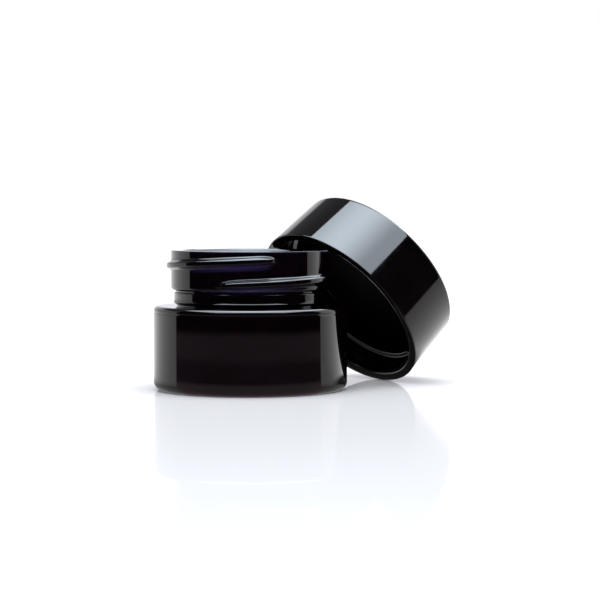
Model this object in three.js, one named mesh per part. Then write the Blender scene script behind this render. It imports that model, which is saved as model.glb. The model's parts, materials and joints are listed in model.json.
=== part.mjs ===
// A small cosmetic cream jar: thick-walled glass with a screw neck, and its screw lid
// taken off. The lid leans on the jar with its mouth: its lower lip rests on the table
// and its upper lip reaches over the rim. Millimetres, +Z up, with the origin at the
// middle of the jar's base.

import * as THREE from 'three';

// Glass jar, outside
const neckRadius = 15.6;
const shoulderWidth = 3.4;
const bodyHeight = 16.5;
const neckHeight = 10.7;
const heelRound = 1.7;
const shoulderRound = 0.9;

// Neck below the land: an undercut gutter, the bead with its flared foot, and a groove
const gutterDepth = 1.15;
const gutterHeight = 0.7;
const beadHeight = 2.1;
const beadInset = 0.6;
const beadFlare = 0.18;
const beadFlareHeight = 0.6;
const beadRound = 0.35;
const grooveDepth = 1;
const grooveHeight = 0.25;
const landFootRound = 0.7;

// Cup inside the jar
const neckWall = 2.75;
const cupDepth = 14.2;
const cupFloorRound = 6;
const rimOuterRound = 0.4;
const rimInnerRound = 1.5;

// Screw closure: how far the neck's thread stands out, and its play in the lid
const threadHeight = 0.85;
const threadPlay = 0.4;

// Screw lid
const lidProud = 0.25;
const lidDraft = 0.55;
const lidStandoff = 0.25;
const lidRoof = 1.75;
const lidCornerRound = 0.75;
const reliefStep = 0.6;
const reliefDepth = 3.4;
const lipOuterRound = 0.3;
const lipInnerRound = 0.8;

// Liner, a disc kept under the lid's ceiling
const linerThickness = 0.8;
const linerPlay = 0.3;
const linerEdgeRound = 0.2;

// Lean of the lid on the jar: how far the upper lip reaches past the rim, how far round
// the lip's inner round the rim touches it, and the direction of the lean
const leanOverhang = 3.85;
const leanTouchDegrees = 54;
const leanAzimuthDegrees = 36.4;

// Facets
const turnSteps = 72;
const roundSteps = 2;

const degree = Math.PI / 180;
const quarterTurn = Math.PI / 2;

// Sizes of the jar that follow from its driving dimensions
const bodyRadius = neckRadius + shoulderWidth;
const gutterRadius = neckRadius - gutterDepth;
const beadRadius = neckRadius - beadInset;
const grooveRadius = neckRadius - grooveDepth;
const beadFoot = bodyHeight + gutterHeight;
const beadTop = beadFoot + beadHeight;
const landFoot = beadTop + grooveHeight;
const rimHeight = bodyHeight + neckHeight;
const cupRadius = neckRadius - neckWall;
const cupFloor = rimHeight - cupDepth;

// Sizes of the lid that follow from the jar's neck, in the lid's own frame: its origin is
// in the middle of the mouth and +Z points from the mouth to the top
const boreRadius = neckRadius + threadHeight + threadPlay;
const reliefRadius = boreRadius + reliefStep;
const mouthRadius = bodyRadius + lidProud;
const topRadius = mouthRadius - lidDraft;
const linerFace = neckHeight - lidStandoff;
const lidCeiling = linerFace + linerThickness + linerPlay;
const lidHeight = lidCeiling + lidRoof;
const linerRadius = boreRadius - linerPlay;

// Adds a quarter round to an outline, anticlockwise from the angle where it starts.
function addRound(outline, centreX, centreY, radius, start) {
  outline.absarc(centreX, centreY, radius, start, start + quarterTurn, false);
}

// The cross-section of the jar, from the middle of the base round to the cup's floor.
function jarOutline() {
  const outline = new THREE.Path();
  outline.moveTo(0, 0);
  outline.lineTo(bodyRadius - heelRound, 0);
  addRound(outline, bodyRadius - heelRound, heelRound, heelRound, -quarterTurn);
  addRound(outline, bodyRadius - shoulderRound, bodyHeight - shoulderRound, shoulderRound, 0);
  addNeckFinish(outline);
  addRound(outline, neckRadius - rimOuterRound, rimHeight - rimOuterRound, rimOuterRound, 0);
  addRound(outline, cupRadius + rimInnerRound, rimHeight - rimInnerRound, rimInnerRound, quarterTurn);
  outline.absarc(cupRadius - cupFloorRound, cupFloor + cupFloorRound, cupFloorRound, 0, -quarterTurn, true);
  outline.lineTo(0, cupFloor);
  return outline;
}

// The neck from the shoulder up: the undercut gutter, the bead that flares out at its
// foot, the groove, and the round that leads out to the land.
function addNeckFinish(outline) {
  outline.lineTo(gutterRadius, bodyHeight);
  outline.lineTo(beadRadius + beadFlare, beadFoot);
  outline.lineTo(beadRadius, beadFoot + beadFlareHeight);
  addRound(outline, beadRadius - beadRound, beadTop - beadRound, beadRound, 0);
  outline.lineTo(grooveRadius, beadTop);
  outline.lineTo(grooveRadius, landFoot);
  addRound(outline, neckRadius - landFootRound, landFoot + landFootRound, landFootRound, -quarterTurn);
}

// The cross-section of the lid, from the middle of its ceiling down the bore, round the
// lip and up the drafted outside to the top.
function lidOutline() {
  const outline = new THREE.Path();
  outline.moveTo(0, lidCeiling);
  outline.lineTo(boreRadius, lidCeiling);
  outline.lineTo(boreRadius, reliefDepth + reliefStep);
  outline.lineTo(reliefRadius, reliefDepth);
  addRound(outline, reliefRadius + lipInnerRound, lipInnerRound, lipInnerRound, Math.PI);
  addRound(outline, mouthRadius - lipOuterRound, lipOuterRound, lipOuterRound, -quarterTurn);
  addRound(outline, topRadius - lidCornerRound, lidHeight - lidCornerRound, lidCornerRound, 0);
  outline.lineTo(0, lidHeight);
  return outline;
}

// The cross-section of the liner, a flat disc with softened edges.
function linerOutline() {
  const edgeCentre = linerRadius - linerEdgeRound;
  const linerBack = linerFace + linerThickness;
  const outline = new THREE.Path();
  outline.moveTo(0, linerFace);
  outline.lineTo(edgeCentre, linerFace);
  addRound(outline, edgeCentre, linerFace + linerEdgeRound, linerEdgeRound, -quarterTurn);
  addRound(outline, edgeCentre, linerBack - linerEdgeRound, linerEdgeRound, 0);
  outline.lineTo(0, linerBack);
  return outline;
}

// Turns a cross-section round the Z axis. The section runs anticlockwise, with the
// material on its left, so the faces point out.
function turned(name, outline, material) {
  const geometry = new THREE.LatheGeometry(outline.getPoints(roundSteps), turnSteps);
  geometry.rotateX(quarterTurn);
  const mesh = new THREE.Mesh(geometry, material);
  mesh.name = name;
  return mesh;
}

// How the lid leans. Seen from the side, the mouth's plane rises from the rounded lip on
// the table, and reaches the height of the rim short of the upper lip by the overhang.
// That gives the tilt. The edge of the rim and the touched line on the lip's inner round
// are two circles, which meet where they are equally wide at that height. That gives the
// distance from the jar. The rounds of the two edges keep the lid just clear of the rim.
function lean() {
  const lipCentre = mouthRadius - lipOuterRound;
  const rimReach = mouthRadius - leanOverhang;
  const run = lipCentre + rimReach;
  const rise = rimHeight - lipOuterRound;
  const tilt = Math.asin(rise / Math.hypot(run, lipOuterRound)) + Math.atan2(lipOuterRound, run);
  const mouthHeight = rimHeight - rimReach * Math.sin(tilt);
  const touchRadius = reliefRadius + lipInnerRound * (1 - Math.cos(leanTouchDegrees * degree));
  const halfChord = Math.sqrt(touchRadius ** 2 - rimReach ** 2);
  const rimDistance = Math.sqrt(neckRadius ** 2 - halfChord ** 2);
  const mouthDistance = rimDistance + rimReach * Math.cos(tilt);
  return { tilt, mouthHeight, mouthDistance };
}

// Puts the lid's own frame where the lid leans, turned towards the lean's azimuth.
function placeLid(lid) {
  const { tilt, mouthHeight, mouthDistance } = lean();
  const azimuth = leanAzimuthDegrees * degree;
  lid.position.set(mouthDistance * Math.cos(azimuth), mouthDistance * Math.sin(azimuth), mouthHeight);
  lid.rotation.set(0, tilt, azimuth, 'ZYX');
}

const violetGlass = new THREE.MeshStandardMaterial({ color: 0x16101c, roughness: 0.04, metalness: 0 });
const blackPlastic = new THREE.MeshStandardMaterial({ color: 0x0b0a0c, roughness: 0.08, metalness: 0 });
const linerFoam = new THREE.MeshStandardMaterial({ color: 0x1a1a1d, roughness: 0.6, metalness: 0 });

const lid = new THREE.Group();
lid.add(turned('screw_lid', lidOutline(), blackPlastic));
lid.add(turned('lid_liner', linerOutline(), linerFoam));
placeLid(lid);

const creamJar = new THREE.Group();
creamJar.add(turned('glass_jar', jarOutline(), violetGlass));
creamJar.add(lid);

export default creamJar;
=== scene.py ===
"""A small cosmetic cream jar of violet glass, its black screw lid leaning on the rim, and the lid's liner.

Every shell is one closed surface worked out with numpy: a profile is turned round an axis on a grid of
rows and columns, and reliefs such as the screw threads, the mould seams and the foot's bars are added to
the grid as formulas of the angle and the height. Lengths are in metres and angles in degrees, +Z is
up, +X is to the right and +Y is away from the viewer. The origin is the middle of the jar's base.
"""

import json
import logging
import math
from dataclasses import dataclass, field
from enum import Enum

import bpy
import numpy as np
from mathutils import Matrix, Vector


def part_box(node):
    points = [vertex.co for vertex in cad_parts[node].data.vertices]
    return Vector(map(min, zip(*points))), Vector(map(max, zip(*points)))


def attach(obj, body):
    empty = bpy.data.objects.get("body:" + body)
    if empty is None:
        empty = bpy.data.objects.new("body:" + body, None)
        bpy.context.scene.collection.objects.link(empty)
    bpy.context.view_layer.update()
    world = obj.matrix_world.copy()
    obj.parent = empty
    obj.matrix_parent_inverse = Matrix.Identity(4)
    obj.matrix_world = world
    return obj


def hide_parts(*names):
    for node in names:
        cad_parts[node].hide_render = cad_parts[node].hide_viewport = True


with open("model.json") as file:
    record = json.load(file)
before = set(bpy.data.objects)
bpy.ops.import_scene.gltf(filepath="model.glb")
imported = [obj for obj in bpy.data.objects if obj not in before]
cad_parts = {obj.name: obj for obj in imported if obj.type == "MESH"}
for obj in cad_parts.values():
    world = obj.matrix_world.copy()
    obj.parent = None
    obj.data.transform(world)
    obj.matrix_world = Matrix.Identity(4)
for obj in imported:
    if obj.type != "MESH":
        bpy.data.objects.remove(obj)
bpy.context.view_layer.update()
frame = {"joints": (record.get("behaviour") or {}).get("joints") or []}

log = logging.getLogger("cream_jar")

Array = np.ndarray
Colour = tuple[float, float, float]
Place = tuple[float, float, float]
Scale = tuple[float, float, float]
Turns = tuple[float, float, float]

MM = 0.001
FULL_TURN = 360.0
HALF_TURN = 180.0
CREASE_ANGLE = 40.0
WHITE: Colour = (1.0, 1.0, 1.0)

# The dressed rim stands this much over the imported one, whose edge has a larger round.
RIM_LIFT = 0.17 * MM

# Points nearer than this count as one.
SAME_PLACE = 1e-8

# The least that a thread's nose narrows to, squared, so that nothing is divided by zero.
LEAST_NOSE_SHARE = 1e-6


class Axis(Enum):
    """The number of a coordinate in a vector."""

    X = 0
    Y = 1
    Z = 2


class Slot(Enum):
    """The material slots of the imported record."""

    GLASS = "violet_glass"
    PLASTIC = "black_plastic"
    FOAM = "liner_foam"


def ease(value: Array) -> Array:
    """Clips a value to the range from 0 to 1 and eases it at both ends.

    The formula is the smooth step, three times the square less twice the cube.

    Args:
        value: Numbers, where 0 is the start of the step and 1 is its end.

    Returns:
        The eased numbers, in an array of the same shape.
    """
    share = np.clip(value, 0.0, 1.0)
    return share * share * (3.0 - 2.0 * share)


def steep_ease(share: Array) -> Array:
    """Eases a share from 0 to 1 with long ends and a steep middle.

    The formula is 35 times the fourth power, less 84 times the fifth, plus 70 times the sixth, less
    20 times the seventh.

    Args:
        share: Numbers from 0 to 1.

    Returns:
        The eased numbers, in an array of the same shape.
    """
    return share ** 4 * (35.0 - 84.0 * share + 70.0 * share ** 2 - 20.0 * share ** 3)


def wrapped(angle: Array) -> Array:
    """Brings angles in degrees into the range from -180 to 180."""
    return (angle + HALF_TURN) % FULL_TURN - HALF_TURN


class Profile:
    """A cross-section drawn stretch by stretch in the half-plane of radius and height."""

    def __init__(self, radius: float, height: float) -> None:
        """Starts the profile at one point."""
        self.stretches: list[Array] = [np.array([[radius, height]])]

    def line_to(self, radius: float, height: float, steps: int = 1) -> "Profile":
        """Adds a straight stretch whose points crowd together at both ends.

        The crowding follows half of one less the cosine, so that the shading of a flat wall isn't
        pulled round by the curve that follows it.

        Args:
            radius: Radius of the stretch's last point.
            height: Height of the stretch's last point.
            steps: How many steps the stretch takes.

        Returns:
            The profile, so that calls can be chained.
        """
        share = (1.0 - np.cos(np.linspace(0.0, np.pi, steps + 1)[1:, None])) / 2.0
        first = self.stretches[-1][-1]
        self.stretches.append(first + (np.array([radius, height]) - first) * share)
        return self

    def even_to(self, radius: float, height: float, step: float) -> "Profile":
        """Adds a straight stretch with points at even distances of about one step.

        Args:
            radius: Radius of the stretch's last point.
            height: Height of the stretch's last point.
            step: The distance between two points, which is adjusted to fit the stretch.

        Returns:
            The profile, so that calls can be chained.
        """
        first = self.stretches[-1][-1]
        length = math.dist(first, (radius, height))
        share = np.linspace(0.0, 1.0, max(1, round(length / step)) + 1)[1:, None]
        self.stretches.append(first + (np.array([radius, height]) - first) * share)
        return self

    def round_about(self, radius: float, height: float, bend: float, start: float, stop: float,
                    steps: int) -> "Profile":
        """Adds an arc, joined to the last point by a straight line.

        A point at angle t lies at the centre plus the bend times (cosine of t, sine of t).

        Args:
            radius: Radius of the arc's centre.
            height: Height of the arc's centre.
            bend: The arc's own radius.
            start: Angle of the first point, in degrees.
            stop: Angle of the last point, in degrees.
            steps: How many steps the arc takes.

        Returns:
            The profile, so that calls can be chained.
        """
        angle = np.radians(np.linspace(start, stop, steps + 1))
        self.stretches.append(np.column_stack([radius + bend * np.cos(angle),
                                               height + bend * np.sin(angle)]))
        return self

    def points(self) -> Array:
        """Joins the stretches.

        Returns:
            All points in order, without those that lie on the one before.
        """
        joined = np.vstack(self.stretches)
        moved = np.linalg.norm(np.diff(joined, axis=0), axis=1) > SAME_PLACE
        return joined[np.concatenate([[True], moved])]


@dataclass
class TurnedShell:
    """A closed shell: a profile that starts and ends on the axis, turned round that axis.

    A grid point has the profile's radius plus the relief as its distance from the axis, and the
    profile's height plus the lift as its height.
    """

    profile: Array
    angles: Array
    relief: Array = field(init=False)
    lift: Array = field(init=False)

    def __post_init__(self) -> None:
        """Starts with no relief and no lift."""
        self.relief = np.zeros((len(self.profile), len(self.angles)))
        self.lift = np.zeros_like(self.relief)

    @property
    def radius(self) -> Array:
        """The profile's radii as a column, to work with the grid."""
        return self.profile[:, 0:1]

    @property
    def height(self) -> Array:
        """The profile's heights as a column, to work with the grid."""
        return self.profile[:, 1:2]

    def vertices(self) -> Array:
        """Works out the points from the profile, the relief and the lift.

        Returns:
            The grid's points in rows along the profile, and then one point for each pole.
        """
        turn = np.radians(self.angles)[None, :]
        distance = self.radius + self.relief
        level = self.height + self.lift
        grid = np.stack([distance * np.cos(turn), distance * np.sin(turn),
                         np.broadcast_to(level, distance.shape)], axis=-1)
        inner = grid[1:-1].reshape(-1, 3)
        poles = np.array([[0.0, 0.0, level[0].mean()], [0.0, 0.0, level[-1].mean()]])
        return np.vstack([inner, poles])

    def faces(self) -> list[list[int]]:
        """Quads between neighbouring rows and a fan of triangles at each pole.

        Returns:
            The faces' vertex numbers, which turn anticlockwise seen from outside.
        """
        rows, columns = len(self.profile) - 2, len(self.angles)
        number = np.arange(rows * columns).reshape(rows, columns)
        after = np.roll(number, -1, axis=1)
        quads = np.stack([number[:-1], after[:-1], after[1:], number[1:]], axis=-1).reshape(-1, 4)
        first, last = rows * columns, rows * columns + 1
        low = np.stack([np.full(columns, first), after[0], number[0]], axis=-1)
        high = np.stack([np.full(columns, last), number[-1], after[-1]], axis=-1)
        return quads.tolist() + low.tolist() + high.tolist()

    def on_vertices(self, grid: Array) -> Array:
        """Flattens values on the grid into one value per vertex, with the poles' means last."""
        whole = np.broadcast_to(grid, self.relief.shape)
        return np.concatenate([whole[1:-1].ravel(), [whole[0].mean(), whole[-1].mean()]])

    def build(self, name: str, place: Matrix) -> bpy.types.Object:
        """Makes the shell a smooth-shaded object at the origin, with its place in its mesh.

        Args:
            name: Name of the object and of its mesh.
            place: Where the shell's own frame lies.

        Returns:
            The new object, linked to the scene.
        """
        mesh = bpy.data.meshes.new(name)
        mesh.from_pydata(self.vertices().tolist(), [], self.faces())
        mesh.transform(place)
        mesh.shade_smooth()
        mesh.set_sharp_from_angle(angle=math.radians(CREASE_ANGLE))
        piece = bpy.data.objects.new(name, mesh)
        bpy.context.scene.collection.objects.link(piece)
        return piece


def paint(piece: bpy.types.Object, name: str, values: Array) -> None:
    """Stores one number per vertex as an attribute that the materials can read."""
    attribute = piece.data.attributes.new(name, "FLOAT", "POINT")
    attribute.data.foreach_set("value", values.astype(np.float32))


def columns_round(count: int, close_at: tuple[float, ...] = (), reach: float = 1.5,
                  spacing: float = 0.15) -> Array:
    """Angles of the columns round a turned shell, set closer together where fine ridges stand.

    Args:
        count: How many columns stand evenly round the turn.
        close_at: Angles of the ridges, in degrees.
        reach: How far the closer columns reach to each side of a ridge, in degrees.
        spacing: Angle between the closer columns, in degrees.

    Returns:
        The sorted angles, in degrees.
    """
    even = np.arange(count) * FULL_TURN / count
    beside = [angle + np.arange(-reach, reach + spacing / 2, spacing) for angle in close_at]
    every = np.unique(np.round(np.concatenate([even, *beside]) % FULL_TURN, 4))
    gap = np.diff(np.append(every, every[0] + FULL_TURN))
    return every[gap > spacing / 2]


@dataclass
class ScrewThread:
    """A right-handed, rounded thread on a straight wall, which runs out at both ends."""

    pitch: float
    crest_at_zero: float
    start: float
    stop: float
    depth: float
    half_width: float
    crest_half_width: float
    start_runout: float
    stop_runout: float

    def relief(self, angle: Array, height: Array) -> Array:
        """How far the thread stands from the wall, for angles and heights on a grid.

        Unrolled, the crest is a line that rises by the pitch in a full turn. Across it the section is
        flat over the crest and falls to the wall in a steep, fully eased step. Towards each end the
        width follows a quarter ellipse, so that the end is a blunt nose, and the depth eases out over
        the last half of the run-out.

        Args:
            angle: Angles round the wall, in degrees.
            height: Heights on the wall.

        Returns:
            The relief at each grid point, 0 where the wall is bare.
        """
        relief = np.zeros(np.broadcast(angle, height).shape)
        first = math.floor(self.start / FULL_TURN)
        last = math.ceil(self.stop / FULL_TURN)
        for turn in range(first, last + 1):
            unrolled = angle + FULL_TURN * turn
            crest = self.crest_at_zero + self.pitch * unrolled / FULL_TURN
            begun = np.clip((unrolled - self.start) / self.start_runout, 0.0, 1.0)
            left = np.clip((self.stop - unrolled) / self.stop_runout, 0.0, 1.0)
            share = np.minimum(begun, left)
            nose = np.sqrt(np.maximum(1.0 - (1.0 - share) ** 2, LEAST_NOSE_SHARE))
            fade = ease(2.0 * begun) * ease(2.0 * left)
            width = self.half_width * nose
            flat = self.crest_half_width * fade
            across = np.clip((np.abs(height - crest) - flat) / (width - flat), 0.0, 1.0)
            relief = np.maximum(relief, self.depth * fade * (1.0 - steep_ease(across)))
        return relief


@dataclass
class MouldSeam:
    """The fine upright ridges that a split mould leaves on opposite sides of the glass."""

    angle: float
    height: float
    half_width: float

    def angles(self) -> tuple[float, float]:
        """The angles of both ridges, in degrees."""
        return self.angle % FULL_TURN, (self.angle + HALF_TURN) % FULL_TURN

    def relief(self, angle: Array, radius: float) -> Array:
        """The ridges' height round a wall: a bell curve of the arc's length from each seam.

        Args:
            angle: Angles round the wall, in degrees.
            radius: The wall's radius.

        Returns:
            The relief at each angle.
        """
        total = np.zeros_like(angle)
        for seam in self.angles():
            away = np.radians(wrapped(angle - seam)) * radius
            total = total + self.height * np.exp(-((away / self.half_width) ** 2))
        return total


def opaque(colour: Colour) -> tuple[float, float, float, float]:
    """A colour with full cover."""
    return (*colour, 1.0)


@dataclass(frozen=True)
class Ramp:
    """A change from one level to another between two values, eased or straight."""

    low: float
    high: float
    to_low: float = 0.0
    to_high: float = 1.0
    smooth: bool = True


@dataclass(frozen=True)
class Noise:
    """Noise, by the size of its features, the number of finer octaves, and how strong those are."""

    size: float
    detail: float
    roughness: float = 0.5


@dataclass(frozen=True)
class Finish:
    """What all finishes share: a name and the way to start a node material."""

    name: str

    def start(self) -> tuple[bpy.types.Material, "NodeBench", bpy.types.Node]:
        """Makes a material with a Principled shader.

        Returns:
            The material, a bench to add nodes with, and the shader.
        """
        material = bpy.data.materials.new(self.name)
        material.use_nodes = True
        bench = NodeBench(material.node_tree)
        shader = material.node_tree.nodes["Principled BSDF"]
        return material, bench, shader


class NodeBench:
    """Adds nodes and links to one node tree in few words."""

    def __init__(self, tree: bpy.types.NodeTree) -> None:
        """Keeps the tree that the nodes go into."""
        self.tree = tree

    def add(self, kind: str, inputs: dict[str, object] | None = None, **settings: object) -> bpy.types.Node:
        """Adds a node, sets its properties and fills or links its inputs.

        Args:
            kind: The node's type, without the ShaderNode prefix.
            inputs: Values or output sockets for the node's inputs, by name or by number.
            **settings: The node's own properties.

        Returns:
            The new node.
        """
        node = self.tree.nodes.new("ShaderNode" + kind)
        for key, value in settings.items():
            setattr(node, key, value)
        for key, value in (inputs or {}).items():
            self.feed(node, key, value)
        return node

    def feed(self, node: bpy.types.Node, key: str | int, value: object) -> None:
        """Links an output socket to an input, or sets the input to a plain value.

        Args:
            node: The node that has the input.
            key: The input's name or number.
            value: The output socket or the plain value.
        """
        if isinstance(value, bpy.types.NodeSocket):
            self.tree.links.new(value, node.inputs[key])
        else:
            node.inputs[key].default_value = value

    def maths(self, operation: str, first: object, second: object = 0.0) -> bpy.types.NodeSocket:
        """The result of a Math node with two operands."""
        return self.add("Math", {0: first, 1: second}, operation=operation).outputs[0]

    def ramp(self, value: object, ramp: Ramp) -> bpy.types.NodeSocket:
        """Maps a value along a ramp and clamps it at both ends.

        Args:
            value: The value or socket to map.
            ramp: The ramp.

        Returns:
            The mapped value.
        """
        kind = "SMOOTHSTEP" if ramp.smooth else "LINEAR"
        ends = {"From Min": ramp.low, "From Max": ramp.high, "To Min": ramp.to_low, "To Max": ramp.to_high}
        node = self.add("MapRange", {"Value": value, **ends}, interpolation_type=kind, clamp=True)
        return node.outputs["Result"]

    def noise(self, kind: Noise, vector: bpy.types.NodeSocket | None = None) -> bpy.types.NodeSocket:
        """Noise on the object's own coordinates or on those given, near the middle of 0 to 1."""
        inputs = {"Vector": vector or self.object_point(), "Scale": 1.0 / kind.size,
                  "Detail": kind.detail, "Roughness": kind.roughness}
        return self.add("TexNoise", inputs).outputs["Fac"]

    def object_point(self) -> bpy.types.NodeSocket:
        """The shaded point in the object's own coordinates, in metres."""
        return self.add("TexCoord").outputs["Object"]

    def attribute(self, name: str) -> bpy.types.NodeSocket:
        """A number painted on the vertices."""
        return self.add("Attribute", attribute_name=name).outputs["Fac"]

    def coordinate(self, vector: bpy.types.NodeSocket, axis: Axis) -> bpy.types.NodeSocket:
        """One coordinate of a point or a direction."""
        return self.add("SeparateXYZ", {0: vector}).outputs[axis.value]

    def distance(self, point: bpy.types.NodeSocket, place: Place = (0.0, 0.0, 0.0)) -> bpy.types.NodeSocket:
        """The distance of a point from a place, which is the origin if none is given."""
        return self.add("VectorMath", {0: point, 1: place}, operation="DISTANCE").outputs["Value"]

    def blend_colours(self, share: object, first: Colour | bpy.types.NodeSocket,
                      second: Colour) -> bpy.types.NodeSocket:
        """A colour between two, by a share from 0 to 1.

        Args:
            share: How much of the second colour there is.
            first: The colour at 0, or a socket that gives it.
            second: The colour at 1.

        Returns:
            The blended colour.
        """
        # A Mix node keeps its two colours in inputs 6 and 7, and gives theirs in output 2.
        node = self.add("Mix", {0: share}, data_type="RGBA")
        self.feed(node, 6, opaque(first) if isinstance(first, tuple) else first)
        self.feed(node, 7, opaque(second))
        return node.outputs[2]

    def blend_shaders(self, share: object, first: bpy.types.NodeSocket,
                      second: bpy.types.NodeSocket) -> bpy.types.NodeSocket:
        """A shader between two, by a share from 0 to 1."""
        return self.add("MixShader", {0: share, 1: first, 2: second}).outputs[0]

    def light(self, strength: object, colour: Colour | bpy.types.NodeSocket = WHITE,
              kind: str = "Emission") -> bpy.types.NodeSocket:
        """A shader that gives light: Emission on a surface or Background in a world."""
        shade = opaque(colour) if isinstance(colour, tuple) else colour
        return self.add(kind, {"Color": shade, "Strength": strength}).outputs[0]

    def bump(self, height: object, distance: float,
             below: bpy.types.NodeSocket | None = None) -> bpy.types.NodeSocket:
        """A bumped normal.

        Args:
            height: The height of the bumps, as a share of the distance.
            distance: How high a bump of height 1 stands.
            below: A bumped normal that this one is laid over.

        Returns:
            The normal.
        """
        node = self.add("Bump", {"Height": height, "Distance": distance})
        if below is not None:
            self.feed(node, "Normal", below)
        return node.outputs["Normal"]


@dataclass(frozen=True)
class VioletGlass(Finish):
    """Very dark violet glass, fire-polished, with a painted violet glow where light would shine through it.
    """

    name: str = "violet_glass_finish"
    deep: Colour = (0.0006, 0.0002, 0.0004)
    cloud: Colour = (0.0018, 0.0007, 0.0014)
    # Colour of the painted glow: painted light that shines through the glass.
    painted_glow_colour: Colour = (0.0110, 0.0075, 0.0300)
    striae: Noise = Noise(9.0 * MM, 4.0, 0.6)
    striae_stretch: Scale = (1.0, 1.0, 2.5)
    drift: Ramp = Ramp(0.35, 0.7)
    wave: Noise = Noise(12.0 * MM, 1.0)
    wave_height: float = 0.010 * MM
    smudge: Noise = Noise(4.0 * MM, 5.0, 0.65)
    polish: Ramp = Ramp(0.45, 0.75, 0.012, 0.045)
    refraction: float = 1.52

    def material(self) -> bpy.types.Material:
        """Nodes for the glass.

        The colour drifts with stretched noise, like the striae of pressed glass, and turns violet by
        the painted glow, which is painted light shining through the glass. Broad low waves bend the
        reflections, and faint smudges roughen them.

        Returns:
            The material.
        """
        material, bench, shader = self.start()
        flattened = bench.add("VectorMath", {0: bench.object_point(), 1: self.striae_stretch},
                              operation="MULTIPLY").outputs[0]
        drift = bench.ramp(bench.noise(self.striae, flattened), self.drift)
        body = bench.blend_colours(drift, self.deep, self.cloud)
        # Painted light: the violet glow is mixed into the base colour by the painted share.
        bench.feed(shader, "Base Color", bench.blend_colours(bench.attribute("painted_glow"), body, self.painted_glow_colour))
        bench.feed(shader, "Roughness", bench.ramp(bench.noise(self.smudge), self.polish))
        bench.feed(shader, "Normal", bench.bump(bench.noise(self.wave), self.wave_height))
        bench.feed(shader, "IOR", self.refraction)
        return material


@dataclass(frozen=True)
class BlackPlastic(Finish):
    """Glossy black moulded plastic with a faint orange-peel skin, plainer on the inside."""

    name: str = "black_plastic_finish"
    deep: Colour = (0.0009, 0.0005, 0.0007)
    cloud: Colour = (0.0020, 0.0013, 0.0017)
    marks: Noise = Noise(7.0 * MM, 4.0, 0.6)
    flow: Ramp = Ramp(0.35, 0.7)
    peel: Noise = Noise(1.3 * MM, 2.0)
    peel_height: float = 0.0010 * MM
    sink: Noise = Noise(16.0 * MM, 1.0)
    sink_height: float = 0.012 * MM
    gloss: Ramp = Ramp(0.0, 1.0, 0.045, 0.085, smooth=False)
    inner_dulling: float = 0.115
    refraction: float = 1.50

    def material(self) -> bpy.types.Material:
        """Nodes for the plastic.

        Orange peel is fine noise over broad, very low sink waves. The roughness drifts with the same
        flow marks as the colour, and rises where the piece is painted as inner.

        Returns:
            The material.
        """
        material, bench, shader = self.start()
        flow = bench.ramp(bench.noise(self.marks), self.flow)
        bench.feed(shader, "Base Color", bench.blend_colours(flow, self.deep, self.cloud))
        dulling = bench.maths("MULTIPLY", bench.attribute("inner"), self.inner_dulling)
        bench.feed(shader, "Roughness", bench.maths("ADD", bench.ramp(flow, self.gloss), dulling))
        broad = bench.bump(bench.noise(self.sink), self.sink_height)
        bench.feed(shader, "Normal", bench.bump(bench.noise(self.peel), self.peel_height, below=broad))
        bench.feed(shader, "IOR", self.refraction)
        return material


@dataclass(frozen=True)
class LinerFoam(Finish):
    """Dark foamed plastic sheet with a skin of fine cells, polished where the rim has pressed it."""

    name: str = "liner_foam_finish"
    skin: Colour = (0.0026, 0.0022, 0.0026)
    cell: Colour = (0.0012, 0.0010, 0.0012)
    cell_size: float = 0.42 * MM
    cell_height: float = 0.020 * MM
    pit: Ramp = Ramp(0.1, 0.6)
    patches: Noise = Noise(2.52 * MM, 4.0, 0.6)
    grain: Ramp = Ramp(0.3, 0.7, 0.6, 1.0)
    polish: Ramp = Ramp(0.0, 1.0, 0.58, 0.34, smooth=False)
    flattening: Ramp = Ramp(0.0, 1.0, 1.0, 0.35, smooth=False)
    refraction: float = 1.25
    specular: float = 0.12

    def material(self) -> bpy.types.Material:
        """Nodes for the foam.

        Each cell of a Voronoi pattern is a shallow pit, darker at its middle, and fine noise varies
        the skin between. The painted press mark smooths and flattens the skin.

        Returns:
            The material.
        """
        material, bench, shader = self.start()
        cells = bench.add("TexVoronoi", {"Vector": bench.object_point(), "Scale": 1.0 / self.cell_size},
                          feature="SMOOTH_F1").outputs["Distance"]
        pit = bench.ramp(cells, self.pit)
        grain = bench.ramp(bench.noise(self.patches), self.grain)
        shade = bench.maths("MULTIPLY", pit, grain)
        bench.feed(shader, "Base Color", bench.blend_colours(shade, self.cell, self.skin))
        mark = bench.attribute("pressed")
        bench.feed(shader, "Roughness", bench.ramp(mark, self.polish))
        relief = bench.maths("MULTIPLY", pit, bench.ramp(mark, self.flattening))
        bench.feed(shader, "Normal", bench.bump(relief, self.cell_height))
        bench.feed(shader, "IOR", self.refraction)
        bench.feed(shader, "Specular IOR Level", self.specular)
        return material


def dress(piece: bpy.types.Object, material: bpy.types.Material, body: str, node: str) -> None:
    """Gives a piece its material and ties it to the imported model.

    Args:
        piece: The finished piece.
        material: Its material.
        body: The body that it moves with.
        node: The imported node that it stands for.
    """
    piece.data.materials.append(material)
    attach(piece, body)
    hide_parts(node)


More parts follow.
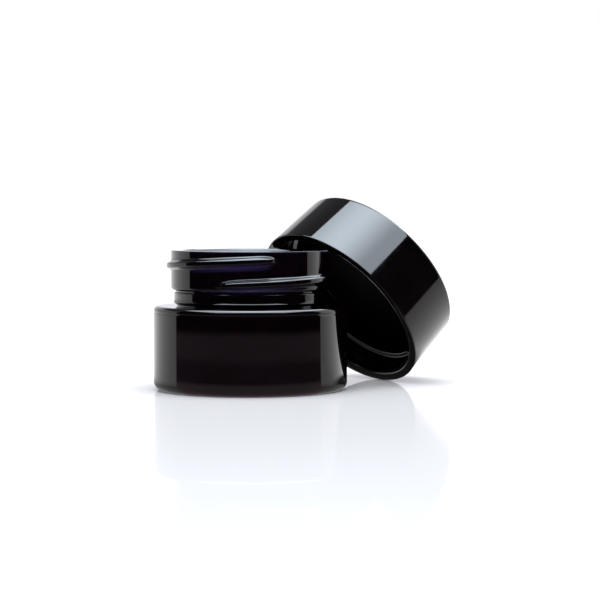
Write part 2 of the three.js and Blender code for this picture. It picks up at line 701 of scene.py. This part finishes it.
@dataclass
class GlassJar:
    """The thick-walled glass jar: a straight body, a flat shoulder and a moulded screw neck."""

    body_radius: float
    rim_height: float
    shoulder_height: float = 16.5 * MM
    shoulder_round: float = 0.9 * MM
    heel_round: float = 1.7 * MM
    neck_radius: float = 15.6 * MM
    gutter_radius: float = 14.45 * MM
    gutter_fillet: float = 0.15 * MM
    gutter_wall: float = 0.05 * MM
    bead_radius: float = 15.0 * MM
    bead_lip: float = 0.18 * MM
    bead_lip_edge: float = 0.05 * MM
    bead_lip_turns: tuple[float, float] = (-50.0, 33.0)
    bead_flare: float = 1.1 * MM
    bead_flare_rise_share: float = 0.55
    bead_foot: float = 17.25 * MM
    bead_top: float = 19.3 * MM
    bead_round: float = 0.35 * MM
    groove_radius: float = 14.6 * MM
    land_foot: float = 19.55 * MM
    land_foot_round: float = 0.7 * MM
    rim_outer_round: float = 0.15 * MM
    rim_inner_round: float = 0.15 * MM
    mouth_flare: float = 1.8 * MM
    mouth_flare_tilt: float = 48.0
    cup_radius: float = 12.85 * MM
    cup_floor: float = 13.0 * MM
    cup_floor_round: float = 6.0 * MM
    foot_radius: float = 16.9 * MM
    foot_width: float = 2.0 * MM
    foot_bar_height: float = 0.06 * MM
    foot_bars: int = 56
    foot_bar_end_share: float = 0.3
    dish_depth: float = 0.35 * MM
    dish_shares: tuple[float, float] = (0.8, 0.9)
    parting_line: float = 15.29 * MM
    parting_line_depth: float = 0.065 * MM
    parting_line_half_width: float = 0.14 * MM
    parting_line_reach: float = 0.35 * MM
    parting_line_step: float = 0.05 * MM
    land_step: float = 0.062 * MM
    # Painted light: a violet glow under the thread, at the land's foot and along the rim, strongest at the
    # front.
    glow_below_thread: float = 1.15 * MM
    glow_centre: float = -98.0
    glow_spread: float = 31.0
    glow_at_foot_share: float = 0.45
    glow_at_foot_reach: float = 0.40 * MM
    glow_at_rim_share: float = 0.6
    glow_at_rim_reach: float = 0.16 * MM
    columns: int = 270
    seam_on_bead_share: float = 3.5
    seam: MouldSeam = field(default_factory=lambda: MouldSeam(angle=-91.6, height=0.022 * MM,
                                                              half_width=0.16 * MM))
    thread: ScrewThread = field(default_factory=lambda: ScrewThread(
        pitch=4.34 * MM, crest_at_zero=26.535 * MM, start=-475.0, stop=-70.5, depth=0.90 * MM,
        half_width=1.28 * MM, crest_half_width=0.12 * MM, start_runout=20.0, stop_runout=16.0))
    finish: VioletGlass = field(default_factory=VioletGlass)

    def profile(self) -> Array:
        """Draws the jar's cross-section.

        Returns:
            Its points, from the middle of the base round to the cup's floor.
        """
        outline = Profile(0.0, self.dish_depth)
        self.add_foot(outline)
        self.add_body(outline)
        self.add_neck(outline)
        self.add_cup(outline)
        return outline.points()

    def add_foot(self, outline: Profile) -> None:
        """The shallow dish under the base and the ring that the jar stands on.

        Args:
            outline: The profile so far.
        """
        inside = self.foot_radius - self.foot_width
        raised = self.foot_bar_height
        width_share, depth_share = self.dish_shares
        outline.line_to(inside * width_share, self.dish_depth * depth_share, 6)
        outline.line_to(inside, raised, 6)
        outline.line_to(self.foot_radius, raised, 6)
        outline.line_to(self.body_radius - self.heel_round, 0.0, 2)

    def add_body(self, outline: Profile) -> None:
        """The rounded heel, the straight wall with its parting line, and the shoulder's edge.

        Args:
            outline: The profile so far.
        """
        heel, edge, line = self.heel_round, self.shoulder_round, self.parting_line_reach
        outline.round_about(self.body_radius - heel, heel, heel, -90.0, 0.0, 14)
        outline.line_to(self.body_radius, self.parting_line - line, 16)
        outline.even_to(self.body_radius, self.parting_line + line, self.parting_line_step)
        outline.round_about(self.body_radius - edge, self.shoulder_height - edge, edge, 0.0, 90.0, 9)
        outline.line_to(self.gutter_radius + self.gutter_fillet, self.shoulder_height, 7)

    def add_neck(self, outline: Profile) -> None:
        """The undercut gutter, the bead with its flared foot, the groove, and the threaded land.

        Args:
            outline: The profile so far.
        """
        fillet, bead = self.gutter_fillet, self.bead_round
        outline.round_about(self.gutter_radius + fillet, self.shoulder_height + fillet, fillet, -90.0,
                            -HALF_TURN, 5)
        outline.line_to(self.gutter_radius, self.shoulder_height + fillet + self.gutter_wall, 1)
        self.add_bead_foot(outline)
        outline.line_to(self.bead_radius, self.bead_top - bead, 4)
        outline.round_about(self.bead_radius - bead, self.bead_top - bead, bead, 0.0, 90.0, 8)
        outline.line_to(self.groove_radius, self.bead_top, 1)
        outline.line_to(self.groove_radius, self.land_foot, 2)
        edge = self.land_foot_round
        outline.round_about(self.neck_radius - edge, self.land_foot + edge, edge, -90.0, 0.0, 12)
        outline.even_to(self.neck_radius, self.rim_height - self.rim_outer_round, self.land_step)

    def add_bead_foot(self, outline: Profile) -> None:
        """The bead's lower edge, a small lip that the wall above meets in a concave flare.

        Args:
            outline: The profile so far.
        """
        edge, flare = self.bead_lip_edge, self.bead_flare
        start, stop = self.bead_lip_turns
        lip_level = self.bead_foot + edge
        outline.round_about(self.bead_radius + self.bead_lip - edge, lip_level, edge, start, stop, 4)
        flare_level = lip_level + self.bead_flare_rise_share * flare
        outline.round_about(self.bead_radius + flare, flare_level, flare, HALF_TURN + stop, HALF_TURN, 10)

    def add_cup(self, outline: Profile) -> None:
        """The rim, the flared mouth inside it, the cup's wall and its bowl-shaped floor.

        Args:
            outline: The profile so far.
        """
        outer, bowl = self.rim_outer_round, self.cup_floor_round
        outline.round_about(self.neck_radius - outer, self.rim_height - outer, outer, 0.0, 90.0, 8)
        self.add_mouth(outline)
        outline.line_to(self.cup_radius, self.cup_floor + bowl, 8)
        outline.round_about(self.cup_radius - bowl, self.cup_floor + bowl, bowl, 0.0, -90.0, 16)
        outline.line_to(0.0, self.cup_floor, 5)

    def add_mouth(self, outline: Profile) -> None:
        """The rim's inner edge and the flare that leads down into the cup, one tangent arc each.

        Args:
            outline: The profile so far.
        """
        inner, flare, tilt = self.rim_inner_round, self.mouth_flare, math.radians(self.mouth_flare_tilt)
        edge = self.cup_radius + flare * (1.0 - math.cos(tilt)) + inner * math.cos(tilt)
        foot = self.rim_height - inner - (flare - inner) * math.sin(tilt)
        steep = HALF_TURN - self.mouth_flare_tilt
        outline.line_to(edge, self.rim_height, 3)
        outline.round_about(edge, self.rim_height - inner, inner, 90.0, steep, 5)
        outline.round_about(self.cup_radius + flare, foot, flare, steep, HALF_TURN, 12)

    def shell(self) -> TurnedShell:
        """The turned surface with the thread, the seams, the parting line and the foot's bars.

        Returns:
            The shell, ready to be built.
        """
        angles = columns_round(self.columns, self.seam.angles())
        shell = TurnedShell(self.profile(), angles)
        turn, height, outside = angles[None, :], shell.height, self.outside(shell)
        on_land = outside & (height > self.land_foot + self.land_foot_round / 2)
        shell.relief += np.where(on_land, self.thread.relief(turn, height), 0.0)
        on_wall = outside & (height > self.heel_round) & (height < self.rim_height - self.rim_outer_round)
        on_bead = (height > self.shoulder_height) & (height < self.land_foot)
        raised = np.where(on_bead, self.seam_on_bead_share, 1.0)
        shell.relief += np.where(on_wall, self.seam.relief(turn, self.neck_radius) * raised, 0.0)
        line = np.exp(-(((height - self.parting_line) / self.parting_line_half_width) ** 2))
        on_body = np.isclose(shell.radius, self.body_radius)
        shell.relief -= np.where(on_body, self.parting_line_depth * line, 0.0)
        shell.lift -= self.foot_relief(shell)
        return shell

    def outside(self, shell: TurnedShell) -> Array:
        """True on the rows from the base up to the rim, where the outer surface ends."""
        rim_row = np.argmax(shell.height[:, 0] >= self.rim_height - SAME_PLACE)
        return np.arange(len(shell.profile))[:, None] < rim_row

    def foot_relief(self, shell: TurnedShell) -> Array:
        """The short radial bars under the base, which the jar stands on.

        Along the ring a bar is the upper half of a cosine of the angle times the number of bars, and
        across the ring it is eased in and out.

        Args:
            shell: The jar's shell.

        Returns:
            How far each grid point is lowered.
        """
        along = np.maximum(np.cos(np.radians(shell.angles[None, :] * self.foot_bars)), 0.0)
        inside, end = self.foot_radius - self.foot_width, self.foot_bar_end_share * self.foot_width
        across = ease((shell.radius - inside) / end) * ease((self.foot_radius - shell.radius) / end)
        under = self.outside(shell) & (shell.height < self.heel_round)
        return np.where(under, self.foot_bar_height * along * across, 0.0)

    def painted_glow(self, shell: TurnedShell) -> Array:
        """Painted violet light through the glass: under the thread, at the foot of the land, along the rim.

        The band under the thread is the cube of the thread's own relief, moved down. The other two
        are bell curves of the height, and the first two fade round both sides of the front.

        Args:
            shell: The jar's shell.

        Returns:
            A share for each vertex.
        """
        turn, height, outside = shell.angles[None, :], shell.height, self.outside(shell)
        front = np.exp(-((wrapped(turn - self.glow_centre) / self.glow_spread) ** 2))
        above = self.thread.relief(turn, height + self.glow_below_thread) / self.thread.depth
        on_land = outside & (height > self.land_foot)
        foot = np.exp(-(((height - self.land_foot) / self.glow_at_foot_reach) ** 2))
        below_rim = self.rim_height - self.glow_at_rim_reach - height
        rim = np.exp(-((below_rim / self.glow_at_rim_reach) ** 2))
        edges = self.glow_at_foot_share * foot * front + self.glow_at_rim_share * rim
        total = np.where(on_land, above ** 3 * front, 0.0) + np.where(outside, edges, 0.0)
        return np.clip(shell.on_vertices(total), 0.0, 1.0)

    def build(self) -> bpy.types.Object:
        """Builds, paints and dresses the jar.

        Returns:
            The finished piece.
        """
        shell = self.shell()
        piece = shell.build("jar_glass", Matrix.Identity(4))
        # The painted violet glow, painted light, is stored on the vertices.
        paint(piece, "painted_glow", self.painted_glow(shell))
        dress(piece, self.finish.material(), "jar", "glass_jar")
        return piece


def leaning_frame(joint: dict) -> Matrix:
    """The lid's own frame: its origin is in the middle of the mouth and its Z points to the top.

    The frame is tilted about the level line across the lean, so its X points down to the lip that
    rests on the table.

    Args:
        joint: The record's hinge that the lid turns on, with its place and axis.

    Returns:
        The frame as a matrix.
    """
    axis = Vector(joint["axis"]).normalized()
    towards = Matrix.Rotation(math.atan2(axis.y, axis.x), 4, "Z")
    tilted = Matrix.Rotation(math.acos(axis.z), 4, "Y")
    return Matrix.Translation(joint["pos_m"]) @ towards @ tilted


@dataclass
class ScrewLid:
    """The one-piece moulded lid: drafted outside, rounded lip, counterbore, thread and flat ceiling."""

    place: Matrix
    mouth_radius: float = 19.25 * MM
    top_radius: float = 18.7 * MM
    height: float = 13.3 * MM
    corner_round: float = 0.75 * MM
    lip_outer_round: float = 0.3 * MM
    lip_inner_round: float = 0.8 * MM
    relief_radius: float = 17.45 * MM
    relief_depth: float = 4.0 * MM
    relief_taper: float = 2.2 * MM
    bore_radius: float = 16.85 * MM
    ceiling: float = 11.55 * MM
    ceiling_fillet: float = 0.4 * MM
    keeper_height: float = 10.05 * MM
    keeper_depth: float = 0.16 * MM
    keeper_half_width: float = 0.22 * MM
    bore_step: float = 0.07 * MM
    columns: int = 320
    thread: ScrewThread = field(default_factory=lambda: ScrewThread(
        pitch=4.34 * MM, crest_at_zero=5.25 * MM, start=-28.0, stop=318.0, depth=0.82 * MM,
        half_width=0.85 * MM, crest_half_width=0.14 * MM, start_runout=16.0, stop_runout=24.0))
    finish: BlackPlastic = field(default_factory=BlackPlastic)

    def profile(self) -> Array:
        """Draws the lid's cross-section.

        Returns:
            Its points, from the middle of its ceiling round to the middle of its top.
        """
        outline = Profile(0.0, self.ceiling)
        self.add_inside(outline)
        self.add_lip(outline)
        self.add_outside(outline)
        return outline.points()

    def add_inside(self, outline: Profile) -> None:
        """The ceiling, the bore and the taper that opens it to the counterbore.

        Args:
            outline: The profile so far.
        """
        fillet = self.ceiling_fillet
        outline.line_to(self.bore_radius - fillet, self.ceiling, 8)
        outline.round_about(self.bore_radius - fillet, self.ceiling - fillet, fillet, 90.0, 0.0, 6)
        outline.even_to(self.bore_radius, self.relief_depth, self.bore_step)
        outline.line_to(self.relief_radius, self.relief_depth - self.relief_taper, 5)

    def add_lip(self, outline: Profile) -> None:
        """The counterbore's wall and the lip with its inner and outer rounds.

        Args:
            outline: The profile so far.
        """
        inner, outer = self.lip_inner_round, self.lip_outer_round
        outline.line_to(self.relief_radius, inner, 4)
        outline.round_about(self.relief_radius + inner, inner, inner, HALF_TURN, 270.0, 9)
        outline.line_to(self.mouth_radius - outer, 0.0, 3)
        outline.round_about(self.mouth_radius - outer, outer, outer, -90.0, 0.0, 8)

    def add_outside(self, outline: Profile) -> None:
        """The drafted wall, the corner's round and the flat top.

        Args:
            outline: The profile so far.
        """
        corner = self.corner_round
        outline.line_to(self.top_radius, self.height - corner, 16)
        outline.round_about(self.top_radius - corner, self.height - corner, corner, 0.0, 90.0, 12)
        outline.line_to(0.0, self.height, 10)

    def shell(self) -> TurnedShell:
        """The turned surface with the thread and the ring that keeps the liner in.

        The ring's section is a bell curve of the height, and the higher of ring and thread counts. Both
        stand towards the axis, so they are taken off the radius.

        Returns:
            The shell, ready to be built.
        """
        angles = columns_round(self.columns)
        shell = TurnedShell(self.profile(), angles)
        in_bore = self.inner_rows(shell) & np.isclose(shell.radius, self.bore_radius)
        thread = self.thread.relief(angles[None, :], shell.height)
        away = (shell.height - self.keeper_height) / self.keeper_half_width
        keeper = self.keeper_depth * np.exp(-(away ** 2))
        shell.relief -= np.where(in_bore, np.maximum(thread, keeper), 0.0)
        return shell

    def inner_rows(self, shell: TurnedShell) -> Array:
        """True on the rows from the ceiling to the lip."""
        return np.arange(len(shell.profile))[:, None] < np.argmin(shell.height[:, 0])

    def build(self) -> bpy.types.Object:
        """Builds, paints and dresses the lid.

        Returns:
            The finished piece.
        """
        shell = self.shell()
        piece = shell.build("lid_shell", self.place)
        paint(piece, "inner", shell.on_vertices(self.inner_rows(shell).astype(float)))
        dress(piece, self.finish.material(), "lid", "screw_lid")
        return piece


@dataclass
class LidLiner:
    """The foam disc under the lid's ceiling, with the ring that the jar's rim has pressed into it."""

    place: Matrix
    face: float = 10.45 * MM
    thickness: float = 0.8 * MM
    radius: float = 16.55 * MM
    edge_round: float = 0.2 * MM
    press_radius: float = 14.3 * MM
    press_half_width: float = 0.75 * MM
    press_depth: float = 0.07 * MM
    press_edge_share: float = 1.6
    face_step: float = 0.25 * MM
    columns: int = 240
    finish: LinerFoam = field(default_factory=LinerFoam)

    def profile(self) -> Array:
        """Draws the disc's cross-section.

        Returns:
            Its points, from the middle of its face round to the middle of its back.
        """
        bend, back = self.edge_round, self.face + self.thickness
        outline = Profile(0.0, self.face)
        outline.even_to(self.radius - bend, self.face, self.face_step)
        outline.round_about(self.radius - bend, self.face + bend, bend, -90.0, 0.0, 5)
        outline.round_about(self.radius - bend, back - bend, bend, 0.0, 90.0, 5)
        outline.line_to(0.0, back, 10)
        return outline.points()

    def press_mark(self, shell: TurnedShell) -> Array:
        """The ring that the rim has pressed: a plateau with eased edges across its width.

        Args:
            shell: The liner's shell.

        Returns:
            The share of its full depth on each row.
        """
        away = np.abs(shell.radius - self.press_radius) / self.press_half_width
        on_face = shell.height < self.face + self.edge_round / 2
        return np.where(on_face, ease(self.press_edge_share - away), 0.0)

    def build(self) -> bpy.types.Object:
        """Builds, paints and dresses the liner.

        Returns:
            The finished piece.
        """
        shell = TurnedShell(self.profile(), columns_round(self.columns))
        mark = self.press_mark(shell)
        shell.lift += self.press_depth * mark
        piece = shell.build("liner_disc", self.place)
        paint(piece, "pressed", shell.on_vertices(mark))
        dress(piece, self.finish.material(), "liner", "lid_liner")
        return piece


def bare_bench(owner: bpy.types.Material | bpy.types.World) -> NodeBench:
    """Clears the nodes of a material or a world.

    Args:
        owner: The material or the world.

    Returns:
        A bench to add nodes with.
    """
    owner.use_nodes = True
    owner.node_tree.nodes.clear()
    return NodeBench(owner.node_tree)


def staged_sheet(name: str, corners: list[Place], material: bpy.types.Material) -> bpy.types.Object:
    """Makes a flat sheet of one face that belongs to the studio and not to the object.

    Args:
        name: Name of the sheet and of its mesh.
        corners: Its corners, in order.
        material: Its material.

    Returns:
        The sheet, linked to the scene.
    """
    mesh = bpy.data.meshes.new(name)
    mesh.from_pydata(corners, [], [tuple(range(len(corners)))])
    mesh.materials.append(material)
    sheet = bpy.data.objects.new(name, mesh)
    bpy.context.scene.collection.objects.link(sheet)
    return sheet


@dataclass
class Table:
    """The pale table: matt white that keeps shadows, under a polish that mirrors faintly.

    Rays that come from a glossy surface see it as the studio lights it, bright behind the object and
    dim before it.
    """

    size: float = 6.0
    colour: Colour = (0.82, 0.845, 0.905)
    glow: Colour = (0.96, 0.975, 1.0)
    glow_by_depth: Ramp = Ramp(8.0 * MM, 60.0 * MM, 0.36, 0.60)
    contact_reach: float = 12.0 * MM
    contact_shade: Ramp = Ramp(0.35, 0.9)
    mirror_roughness: float = 0.02
    mirror_by_distance: Ramp = Ramp(45.0 * MM, 215.0 * MM, 0.305, 0.12)
    front_edge: Ramp = Ramp(-13.6 * MM, -11.9 * MM)
    front_edge_left: tuple[float, float] = (-14.4 * MM, 0.144)
    front_edge_right: tuple[float, float] = (13.7 * MM, 0.012)
    front_edge_right_end: float = 150.0 * MM
    dim_tint: Colour = (1.0, 0.76, 0.86)
    dim_near: Ramp = Ramp(38.0 * MM, 50.0 * MM, 0.33, 0.08)
    dim_band: Ramp = Ramp(86.0 * MM, 120.0 * MM, 0.0, 0.09)
    dim_end: Ramp = Ramp(185.0 * MM, 225.0 * MM, 1.0, 0.06)
    bright_level: float = 0.82
    bright_least_width: float = 30.0 * MM
    bright_by_turn: Ramp = Ramp(0.0, 1.2, smooth=False)
    bright_growth: Ramp = Ramp(-20.0 * MM, 20.0 * MM, 0.45, 1.9)
    bright_near: Ramp = Ramp(19.0 * MM, 45.0 * MM, 0.45, 1.0)
    pocket: Place = (24.0 * MM, 17.5 * MM, 0.0)
    pocket_shade: Ramp = Ramp(14.0 * MM, 25.0 * MM, 0.05, 1.0)
    material: bpy.types.Material = field(init=False)
    bench: NodeBench = field(init=False)
    point: bpy.types.NodeSocket = field(init=False)
    across: bpy.types.NodeSocket = field(init=False)
    back: bpy.types.NodeSocket = field(init=False)
    away: bpy.types.NodeSocket = field(init=False)

    def __post_init__(self) -> None:
        """Starts the material with the shaded point and its distances across, back and from the origin."""
        self.material = bpy.data.materials.new("table_finish")
        self.bench = bare_bench(self.material)
        self.point = self.bench.object_point()
        self.across = self.bench.coordinate(self.point, Axis.X)
        self.back = self.bench.coordinate(self.point, Axis.Y)
        self.away = self.bench.distance(self.point)

    def build(self) -> None:
        """Builds the table top, one wide square at the height of the jar's foot."""
        glossy_ray = self.bench.add("LightPath").outputs["Is Glossy Ray"]
        surface = self.bench.blend_shaders(glossy_ray, self.plainly_seen(), self.seen_in_gloss())
        self.bench.add("OutputMaterial", {"Surface": surface})
        half = self.size / 2
        corners = [(-half, -half, 0.0), (half, -half, 0.0), (half, half, 0.0), (-half, half, 0.0)]
        staged_sheet("table_top", corners, self.material)

    def plainly_seen(self) -> bpy.types.NodeSocket:
        """The table as the camera sees it, with a mirror whose share fades away from the object.

        Returns:
            The shader.
        """
        bench = self.bench
        matt = bench.add("BsdfDiffuse", {"Color": opaque(self.colour)}).outputs[0]
        glow = bench.light(self.glow_strength(), self.glow)
        pale = bench.add("AddShader", {0: matt, 1: glow}).outputs[0]
        mirror = bench.add("BsdfGlossy", {"Color": opaque(WHITE), "Roughness": self.mirror_roughness})
        return bench.blend_shaders(bench.ramp(self.away, self.mirror_by_distance), pale, mirror.outputs[0])

    def glow_strength(self) -> bpy.types.NodeSocket:
        """The table's own light, which stands for the backdrop's: more behind, less close under things.

        Returns:
            The strength.
        """
        clear = self.bench.add("AmbientOcclusion", {"Distance": self.contact_reach}).outputs["AO"]
        behind = self.bench.ramp(self.back, self.glow_by_depth)
        return self.bench.maths("MULTIPLY", behind, self.bench.ramp(clear, self.contact_shade))

    def seen_in_gloss(self) -> bpy.types.NodeSocket:
        """The table as reflections show it.

        A line that bends at two places parts the bright table behind from the dim table before it.
        The pocket under the lid gets painted shade at a fixed place.

        Returns:
            The shader.
        """
        bench = self.bench
        ahead = bench.maths("SUBTRACT", self.back, self.front_line())
        behind = bench.ramp(ahead, self.front_edge)
        before = bench.maths("SUBTRACT", 1.0, behind)
        dim = bench.maths("MULTIPLY", before, self.dim_strength())
        bright = bench.maths("MULTIPLY", behind, self.bright_strength(ahead))
        # Painted shade: a dark spot at a fixed place, the pocket under the leaning lid.
        shade = bench.ramp(bench.distance(self.point, self.pocket), self.pocket_shade)
        strength = bench.maths("MULTIPLY", bench.maths("ADD", dim, bright), shade)
        return bench.light(strength, bench.blend_colours(behind, self.dim_tint, WHITE))

    def front_line(self) -> bpy.types.NodeSocket:
        """How far the bright table's front edge lies back, which grows to both sides.

        Each side has the place where the edge bends, and its slope beyond that place.

        Returns:
            The distance at the point.
        """
        bench = self.bench
        (left, left_slope), (right, right_slope) = self.front_edge_left, self.front_edge_right
        leftward = bench.maths("MAXIMUM", bench.maths("SUBTRACT", left, self.across), 0.0)
        rightward = bench.maths("MAXIMUM", bench.maths("SUBTRACT", self.across, right), 0.0)
        rightward = bench.maths("MINIMUM", rightward, self.front_edge_right_end)
        leftward = bench.maths("MULTIPLY", leftward, left_slope)
        return bench.maths("ADD", leftward, bench.maths("MULTIPLY", rightward, right_slope))

    def dim_strength(self) -> bpy.types.NodeSocket:
        """The light of the dim table before the object, in rings round the origin."""
        near, band, end = (self.bench.ramp(self.away, ramp)
                           for ramp in (self.dim_near, self.dim_band, self.dim_end))
        return self.bench.maths("MULTIPLY", self.bench.maths("ADD", near, band), end)

    def bright_strength(self, ahead: bpy.types.NodeSocket) -> bpy.types.NodeSocket:
        """The light of the bright table, which grows towards the back, more so on the right.

        The growth follows the ratio of the distance behind the front edge to the distance sideways.

        Args:
            ahead: How far the point lies behind the front edge.

        Returns:
            The strength.
        """
        bench = self.bench
        sideways = bench.maths("MAXIMUM", bench.maths("ABSOLUTE", self.across), self.bright_least_width)
        turned = bench.ramp(bench.maths("DIVIDE", ahead, sideways), self.bright_by_turn)
        growth = bench.maths("MULTIPLY", turned, bench.ramp(self.across, self.bright_growth))
        level = bench.maths("ADD", self.bright_level, growth)
        return bench.maths("MULTIPLY", level, bench.ramp(self.away, self.bright_near))


@dataclass
class Room:
    """What lies round the table: even daylight for matt surfaces, and the studio for glossy ones."""

    backdrop_lean: float = 0.05
    backdrop_edge: Ramp = Ramp(0.070, 0.115)
    backdrop_top: Ramp = Ramp(0.36, 0.50, 1.0, 0.0)
    backdrop_top_rise: float = 0.9
    backdrop_across: Ramp = Ramp(-1.0, 1.0, 0.72, 1.50, smooth=False)
    elsewhere: Ramp = Ramp(0.0, 1.0, 0.015, 0.17, smooth=False)
    colour: Colour = (0.98, 0.97, 1.03)
    daylight: float = 0.70

    def build(self) -> None:
        """Sets the world: white for the camera, daylight on matt surfaces, the studio in reflections."""
        world = bpy.data.worlds.new("studio")
        bpy.context.scene.world = world
        bench = bare_bench(world)
        studio = bench.light(self.level(bench), self.colour, "Background")
        soft = bench.light(self.daylight, kind="Background")
        white = bench.light(1.0, kind="Background")
        path = bench.add("LightPath").outputs
        mirrored = bench.maths("MAXIMUM", path["Is Glossy Ray"], path["Is Transmission Ray"])
        lit = bench.blend_shaders(mirrored, soft, studio)
        bench.add("OutputWorld", {"Surface": bench.blend_shaders(path["Is Camera Ray"], lit, white)})

    def level(self, bench: NodeBench) -> bpy.types.NodeSocket:
        """How bright the studio is: a bright backdrop behind the object, and a dim room elsewhere.

        The backdrop grows brighter and reaches higher towards the right.

        Args:
            bench: The bench for the world's nodes.

        Returns:
            The level in the ray's direction.
        """
        direction = bench.add("TexCoord").outputs["Generated"]
        across, back, up = (bench.coordinate(direction, axis) for axis in Axis)
        turned = bench.maths("ADD", back, bench.maths("MULTIPLY", across, self.backdrop_lean))
        behind = bench.ramp(turned, self.backdrop_edge)
        raised = bench.maths("MULTIPLY", bench.maths("MAXIMUM", across, 0.0), self.backdrop_top_rise)
        below_top = bench.ramp(bench.maths("SUBTRACT", up, raised), self.backdrop_top)
        backdrop = bench.maths("MULTIPLY", bench.maths("MULTIPLY", behind, below_top),
                               bench.ramp(across, self.backdrop_across))
        return bench.maths("MAXIMUM", backdrop, bench.ramp(behind, self.elsewhere))


@dataclass
class Softbox:
    """The overhead softbox that only glossy surfaces see, brightest under its lamp."""

    height: float = 0.50
    corners: tuple[tuple[float, float], ...] = (
        (-0.425, -0.425), (-0.425, 0.210), (0.100, 0.210), (0.432, 0.620), (0.432, -0.425))
    colour: Colour = (0.89, 1.0, 1.11)
    lamp: tuple[float, float] = (0.0, -0.06)
    strength_by_distance: Ramp = Ramp(0.0, 0.34, 12.0, 6.0)

    def build(self) -> None:
        """Builds the glowing sheet."""
        material = bpy.data.materials.new("softbox_finish")
        bench = bare_bench(material)
        lamp = bench.distance(bench.object_point(), (*self.lamp, self.height))
        strength = bench.ramp(lamp, self.strength_by_distance)
        bench.add("OutputMaterial", {"Surface": bench.light(strength, self.colour)})
        sheet = staged_sheet("softbox", [(*corner, self.height) for corner in self.corners], material)
        sheet.visible_camera = False
        sheet.visible_diffuse = False
        sheet.visible_shadow = False


@dataclass
class Sun:
    """A broad, soft light from above that gives the object its shadow on the table."""

    strength: float = 1.0
    width: float = 50.0
    turns: Turns = (12.0, 8.0, 0.0)

    def build(self) -> None:
        """Hangs the light, hidden from reflections."""
        lamp = bpy.data.lights.new("soft_sun", "SUN")
        lamp.energy = self.strength
        lamp.angle = math.radians(self.width)
        sun = bpy.data.objects.new("soft_sun", lamp)
        sun.rotation_euler = tuple(math.radians(turn) for turn in self.turns)
        sun.visible_glossy = False
        bpy.context.scene.collection.objects.link(sun)


@dataclass
class Camera:
    """The camera at the photograph's viewing angle."""

    place: Place = (0.0, -392.97 * MM, 36.134 * MM)
    pitch: float = -2.71
    yaw: float = 1.42
    lens: float = 120.05
    near: float = 10.0 * MM

    def build(self) -> None:
        """Places the camera and makes it the scene's."""
        lens = bpy.data.cameras.new("camera")
        lens.lens = self.lens
        lens.clip_start = self.near
        camera = bpy.data.objects.new("camera", lens)
        camera.location = self.place
        camera.rotation_euler = (math.radians(90.0 + self.pitch), 0.0, math.radians(-self.yaw))
        bpy.context.scene.collection.objects.link(camera)
        bpy.context.scene.camera = camera


def main() -> None:
    """Builds the studio and the three pieces in order, and reports each piece."""
    logging.basicConfig(level=logging.INFO, format="%(name)s: %(message)s")
    bpy.context.scene.view_settings.view_transform = "Standard"
    for setting in (Table(), Softbox(), Sun(), Room(), Camera()):
        setting.build()
    jar_low, jar_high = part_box("glass_jar")
    joints = {joint["name"]: joint for joint in frame["joints"]}
    lean = leaning_frame(joints["lid_turn"])
    makers = [
        GlassJar(body_radius=(jar_high.x - jar_low.x) / 2, rim_height=jar_high.z + RIM_LIFT),
        ScrewLid(place=lean),
        LidLiner(place=lean),
    ]
    for maker in makers:
        piece = maker.build()
        log.info("%s has %d faces", piece.name, len(piece.data.polygons))


if __name__ == "__main__":
    main()
